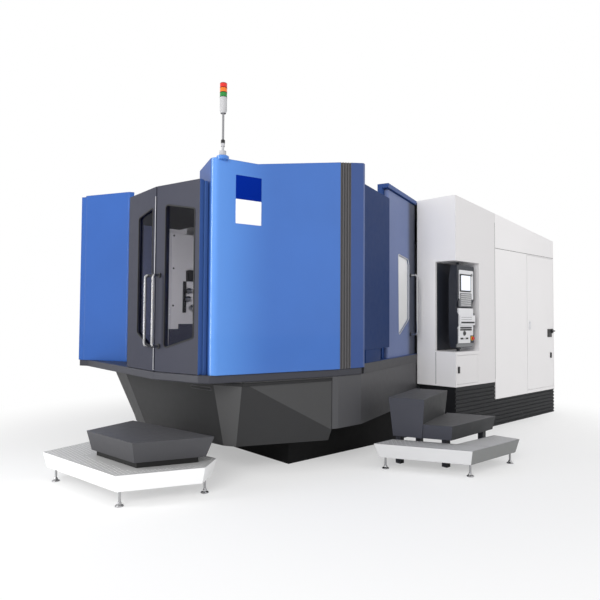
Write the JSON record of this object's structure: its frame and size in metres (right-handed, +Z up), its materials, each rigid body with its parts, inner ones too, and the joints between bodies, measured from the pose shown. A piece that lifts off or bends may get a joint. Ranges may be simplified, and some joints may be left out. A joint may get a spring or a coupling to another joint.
{
  "type": "cnc machining center",
  "caption": "Horizontal machining center with front setup station doors, sliding operator door, swivel control panel, white cabinets, signal tower and access platforms.",
  "frame": {"origin": "on the floor, on the underside of the bed plinth, 1.9 m behind the plinth's front face and midway between its front sides", "axes": "+X to the machine's right (the operator's side), +Y from the setup station to the back, +Z up"},
  "size_m": [4.27, 7.42, 3.559],
  "materials": {
    "blue_paint": "semi-gloss",
    "dark_grey_paint": "satin",
    "casing_grey": "satin",
    "white_paint": "fine texture",
    "light_sheet": "satin",
    "black_base": "satin",
    "cast": "painted",
    "machined_steel": "ground",
    "magazine_dark": "satin",
    "chrome_bar": "polished",
    "clear_pane": "clear",
    "black_plastic": "matte",
    "panel_white": "matte",
    "key_dark": "matte",
    "signal_red": "gloss",
    "button_metal": "polished",
    "tower_white": "gloss",
    "lamp": "gloss",
    "platform_sheet": "fine texture",
    "step_dark": "satin"
  },
  "bodies": {
    "machine": {"base_pan": "casing_grey", "bed": "cast", "bed_plinth": "black_base", "bed_rails": "machined_steel", "cabinet": "white_paint", "control_box": "white_paint", "corner_strip": "dark_grey_paint", "deck": "casing_grey", "door_frame": "dark_grey_paint", "front_frame": "dark_grey_paint", "front_hull": "casing_grey", "inner_wall": "light_sheet", "left_cover": "light_sheet", "left_housing": "blue_paint", "platform_feet": "chrome_bar", "platform_front": "platform_sheet", "platform_side": "platform_sheet", "pocket_cover": "blue_paint", "ribbed_plinth": "black_base", "right_housing": "blue_paint", "roof": "light_sheet", "side_casing": "casing_grey", "side_post": "blue_paint", "signal_lamps": "lamp", "signal_tower": "tower_white", "step_front": "step_dark", "step_side": "step_dark"},
    "operator_door": {"operator_door": "blue_paint", "operator_glass": "clear_pane", "operator_handle": "chrome_bar"},
    "setup_door_left": {"setup_door_left": "dark_grey_paint", "setup_glass_left": "clear_pane", "setup_handle_left": "chrome_bar"},
    "setup_door_right": {"setup_door_right": "dark_grey_paint", "setup_glass_right": "clear_pane", "setup_handle_right": "chrome_bar"},
    "access_hatch": {"access_hatch": "white_paint"},
    "cabinet_door": {"cabinet_door": "white_paint"},
    "cabinet_handle": {"cabinet_handle": "black_plastic"},
    "main_switch": {"main_switch": "black_plastic"},
    "pendant": {"pendant": "black_plastic", "pendant_face": "panel_white", "pendant_keys": "key_dark"},
    "pendant_knob": {"pendant_knob": "black_plastic"},
    "pendant_stop": {"pendant_stop": "signal_red"},
    "setup_stop": {"setup_stop": "signal_red"},
    "setup_button_1": {"setup_button_1": "button_metal"},
    "setup_button_2": {"setup_button_2": "button_metal"},
    "setup_button_3": {"setup_button_3": "button_metal"},
    "saddle": {"saddle": "cast"},
    "rotary_table": {"rotary_table": "machined_steel", "work_pallet": "machined_steel"},
    "changer": {"changer": "cast", "divider": "light_sheet", "setup_pallet": "machined_steel"},
    "column": {"column": "cast"},
    "spindle_head": {"spindle_head": "cast"},
    "spindle": {"spindle": "machined_steel"},
    "magazine": {"magazine_disc": "magazine_dark", "magazine_tools": "machined_steel"}
  },
  "joints": [
    {"name": "operator_door_slide", "type": "slide", "parent": "machine", "child": "operator_door", "axis": [0.3322, -0.9432, 0], "range_m": [0, 0.78]},
    {"name": "setup_door_left_hinge", "type": "hinge", "parent": "machine", "child": "setup_door_left", "pos_m": [-0.13382, -3.15618, 1.8], "axis": [0, 0, 1], "range_deg": [-105, 0]},
    {"name": "setup_door_right_hinge", "type": "hinge", "parent": "machine", "child": "setup_door_right", "pos_m": [0.99415, -3.02443, 1.8], "axis": [0, 0, 1], "range_deg": [0, 105]},
    {"name": "access_hatch_hinge", "type": "hinge", "parent": "machine", "child": "access_hatch", "pos_m": [1.253, 1.13, 0.83], "axis": [0, 0, 1], "range_deg": [0, 110]},
    {"name": "cabinet_door_hinge", "type": "hinge", "parent": "machine", "child": "cabinet_door", "pos_m": [1.253, 3.44, 1.4], "axis": [0, 0, 1], "range_deg": [0, 110]},
    {"name": "cabinet_handle_turn", "type": "hinge", "parent": "cabinet_door", "child": "cabinet_handle", "pos_m": [1.253, 2.612, 1.4], "axis": [1, 0, 0], "range_deg": [0, 90]},
    {"name": "main_switch_turn", "type": "hinge", "parent": "cabinet_door", "child": "main_switch", "pos_m": [1.253, 3.39, 1.305], "axis": [1, 0, 0], "range_deg": [0, 90]},
    {"name": "pendant_swivel", "type": "hinge", "parent": "machine", "child": "pendant", "pos_m": [1.12, 0.862, 1.65], "axis": [0, 0, 1], "range_deg": [-35, 20]},
    {"name": "pendant_knob_turn", "type": "hinge", "parent": "pendant", "child": "pendant_knob", "pos_m": [1.236, 0.802, 1.3], "axis": [1, 0, 0], "range_deg": [-135, 135]},
    {"name": "pendant_stop_press", "type": "slide", "parent": "pendant", "child": "pendant_stop", "axis": [-1, 0, 0], "range_m": [0, 0.006], "stiffness_N_per_m": 800},
    {"name": "setup_stop_press", "type": "slide", "parent": "machine", "child": "setup_stop", "axis": [0.3256, 0.9455, 0], "range_m": [0, 0.006], "stiffness_N_per_m": 800},
    {"name": "setup_button_1_press", "type": "slide", "parent": "machine", "child": "setup_button_1", "axis": [0.3256, 0.9455, 0], "range_m": [0, 0.004], "stiffness_N_per_m": 400},
    {"name": "setup_button_2_press", "type": "slide", "parent": "machine", "child": "setup_button_2", "axis": [0.3256, 0.9455, 0], "range_m": [0, 0.004], "stiffness_N_per_m": 400},
    {"name": "setup_button_3_press", "type": "slide", "parent": "machine", "child": "setup_button_3", "axis": [0.3256, 0.9455, 0], "range_m": [0, 0.004], "stiffness_N_per_m": 400},
    {"name": "table_slide", "type": "slide", "parent": "machine", "child": "saddle", "axis": [0, 1, 0], "range_m": [-0.7, 0.25]},
    {"name": "table_turn", "type": "hinge", "parent": "saddle", "child": "rotary_table", "pos_m": [-0.2, 0.1, 1], "axis": [0, 0, 1], "continuous": true},
    {"name": "changer_turn", "type": "hinge", "parent": "machine", "child": "changer", "pos_m": [-0.2, -1.4, 1], "axis": [0, 0, 1], "range_deg": [0, 180]},
    {"name": "column_slide", "type": "slide", "parent": "machine", "child": "column", "axis": [1, 0, 0], "range_m": [-0.36, 0.36]},
    {"name": "head_slide", "type": "slide", "parent": "column", "child": "spindle_head", "axis": [0, 0, 1], "range_m": [-0.42, 0.5]},
    {"name": "spindle_turn", "type": "hinge", "parent": "spindle_head", "child": "spindle", "pos_m": [-0.2, 0.76, 1.72], "axis": [0, 1, 0], "continuous": true},
    {"name": "magazine_turn", "type": "hinge", "parent": "machine", "child": "magazine", "pos_m": [-1.56, -1.1, 1.74], "axis": [1, 0, 0], "continuous": true}
  ]
}
